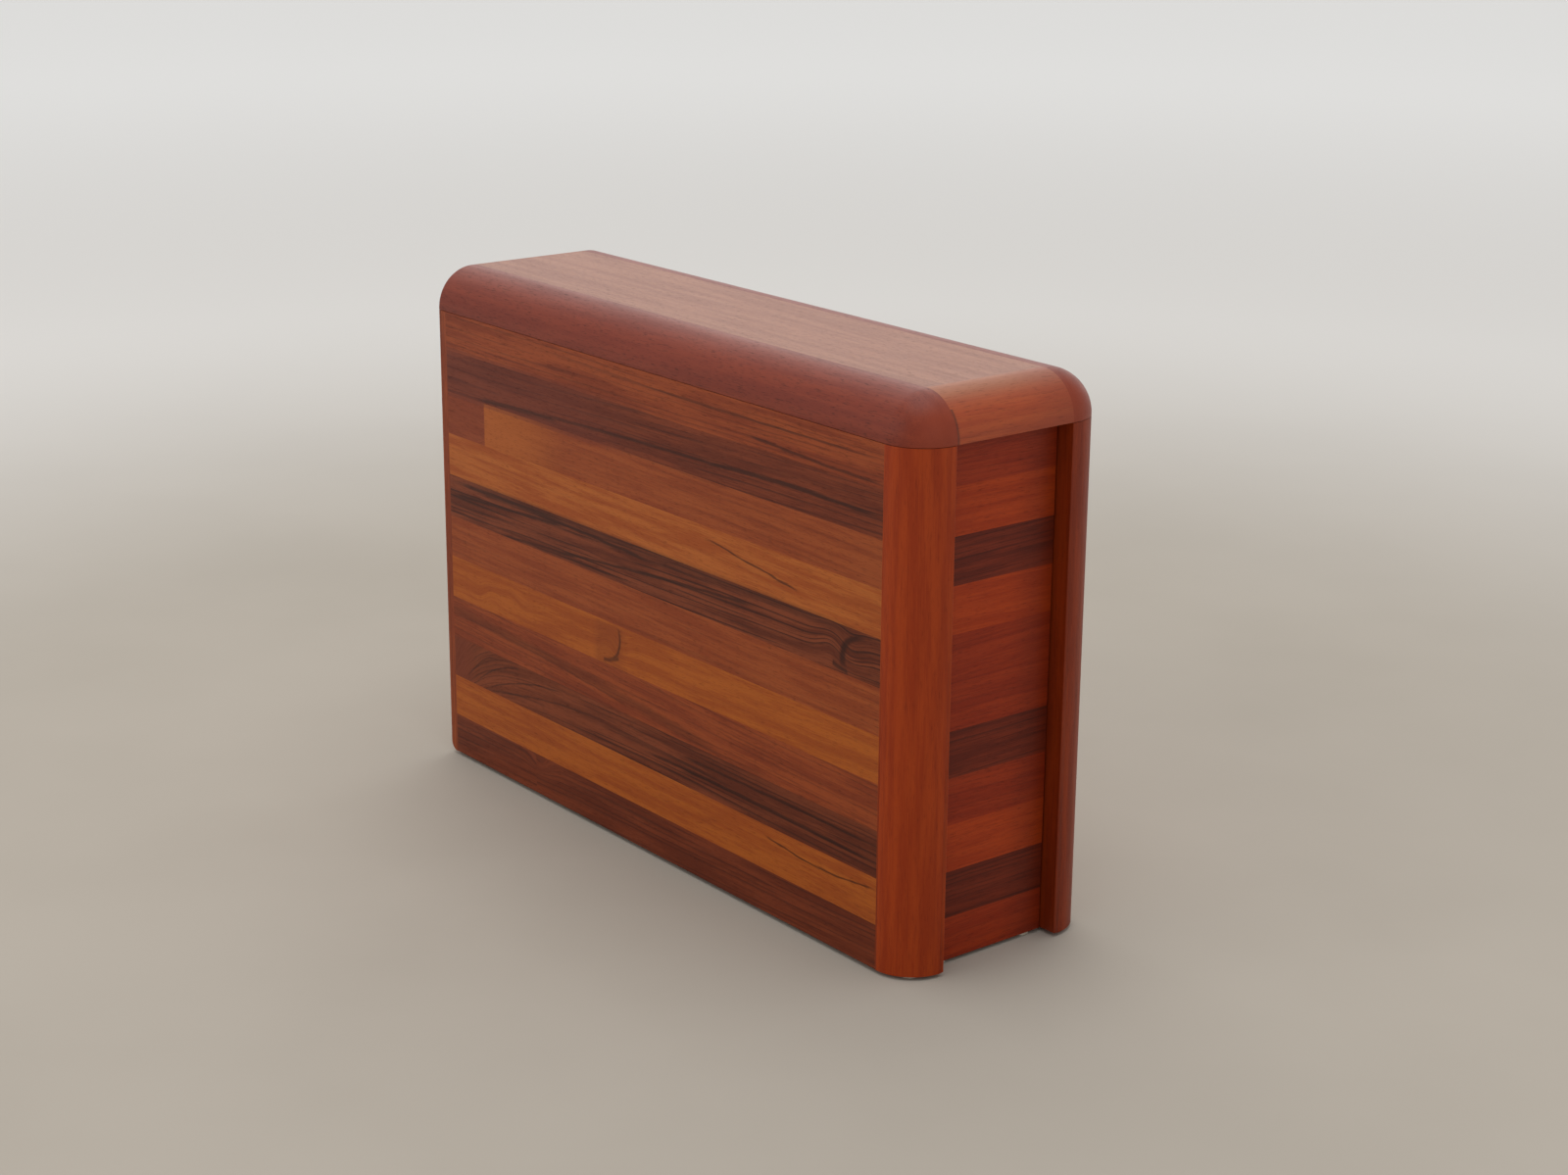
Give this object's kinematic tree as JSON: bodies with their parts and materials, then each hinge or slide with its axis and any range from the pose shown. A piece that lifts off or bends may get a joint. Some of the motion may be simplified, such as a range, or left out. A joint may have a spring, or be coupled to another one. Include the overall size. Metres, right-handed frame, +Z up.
{
  "type": "sewing table",
  "caption": "Slim free-standing sewing table of solid teak staves, a thread cabinet under a round-edged top, with a deep door on each long side.",
  "frame": {"origin": "on the floor under the middle of the whole box, hinge barrels included", "axes": "+X along the length towards the grip end with the round posts, +Y to the rear door, -Y to the front door, +Z up"},
  "size_m": [0.646, 0.192, 0.45],
  "materials": {
    "teak_dark": "satin oil, dark heartwood with near-black lines",
    "teak_red": "satin oil, red-brown heartwood",
    "teak_amber": "satin oil, golden heartwood",
    "teak_top": "satin oil, straight-grained",
    "teak_edge": "satin oil, orange-red",
    "pale_wood": "waxed beech",
    "brass": "satin",
    "steel": "satin",
    "catch_plastic": "matt brown",
    "nylon": "matt"
  },
  "bodies": {
    "carcass": {"top_board": "teak_top", "top_front_rail": "teak_top", "top_rear_rail": "teak_top", "top_end_rail": "teak_edge", "top_rail_dowels": "pale_wood", "carcass_dowels": "pale_wood", "left_end_red_staves": "teak_red", "left_end_amber_staves": "teak_amber", "left_end_dark_staves": "teak_dark", "right_end_red_staves": "teak_red", "right_end_amber_staves": "teak_amber", "right_end_dark_staves": "teak_dark", "bottom_board": "teak_amber", "middle_shelf": "teak_amber", "lower_dividers": "teak_red", "spool_board": "teak_red", "spool_pins": "pale_wood", "carcass_glides": "nylon", "front_hinge_frame_leaf": "brass", "front_hinge_pin": "steel", "front_hinge_frame_screws": "brass", "rear_hinge_frame_leaf": "brass", "rear_hinge_pin": "steel", "rear_hinge_frame_screws": "brass", "catch_housings": "catch_plastic", "catch_magnets": "steel", "catch_screws": "brass"},
    "front_door": {"front_door_red_staves": "teak_red", "front_door_amber_staves": "teak_amber", "front_door_dark_staves": "teak_dark", "front_door_post": "teak_edge", "front_door_stile": "teak_edge", "front_door_top_rail": "teak_red", "front_door_bottom_rail": "teak_red", "front_door_ledges": "teak_amber", "front_door_rods": "pale_wood", "front_door_glide": "nylon", "front_hinge_door_leaf": "brass", "front_hinge_door_screws": "brass", "front_strike_plate": "steel", "front_strike_screws": "brass"},
    "rear_door": {"rear_door_red_staves": "teak_red", "rear_door_amber_staves": "teak_amber", "rear_door_dark_staves": "teak_dark", "rear_door_post": "teak_edge", "rear_door_stile": "teak_edge", "rear_door_top_rail": "teak_red", "rear_door_bottom_rail": "teak_red", "rear_door_ledges": "teak_amber", "rear_door_rods": "pale_wood", "rear_door_glide": "nylon", "rear_hinge_door_leaf": "brass", "rear_hinge_door_screws": "brass", "rear_strike_plate": "steel", "rear_strike_screws": "brass"}
  },
  "joints": [
    {"name": "front_door_hinge", "type": "hinge", "parent": "carcass", "child": "front_door", "pos_m": [-0.32065, -0.0567, 0.207], "axis": [0, 0, -1], "range_deg": [0, 180]},
    {"name": "rear_door_hinge", "type": "hinge", "parent": "carcass", "child": "rear_door", "pos_m": [-0.32065, 0.0567, 0.207], "axis": [0, 0, 1], "range_deg": [0, 180]}
  ]
}
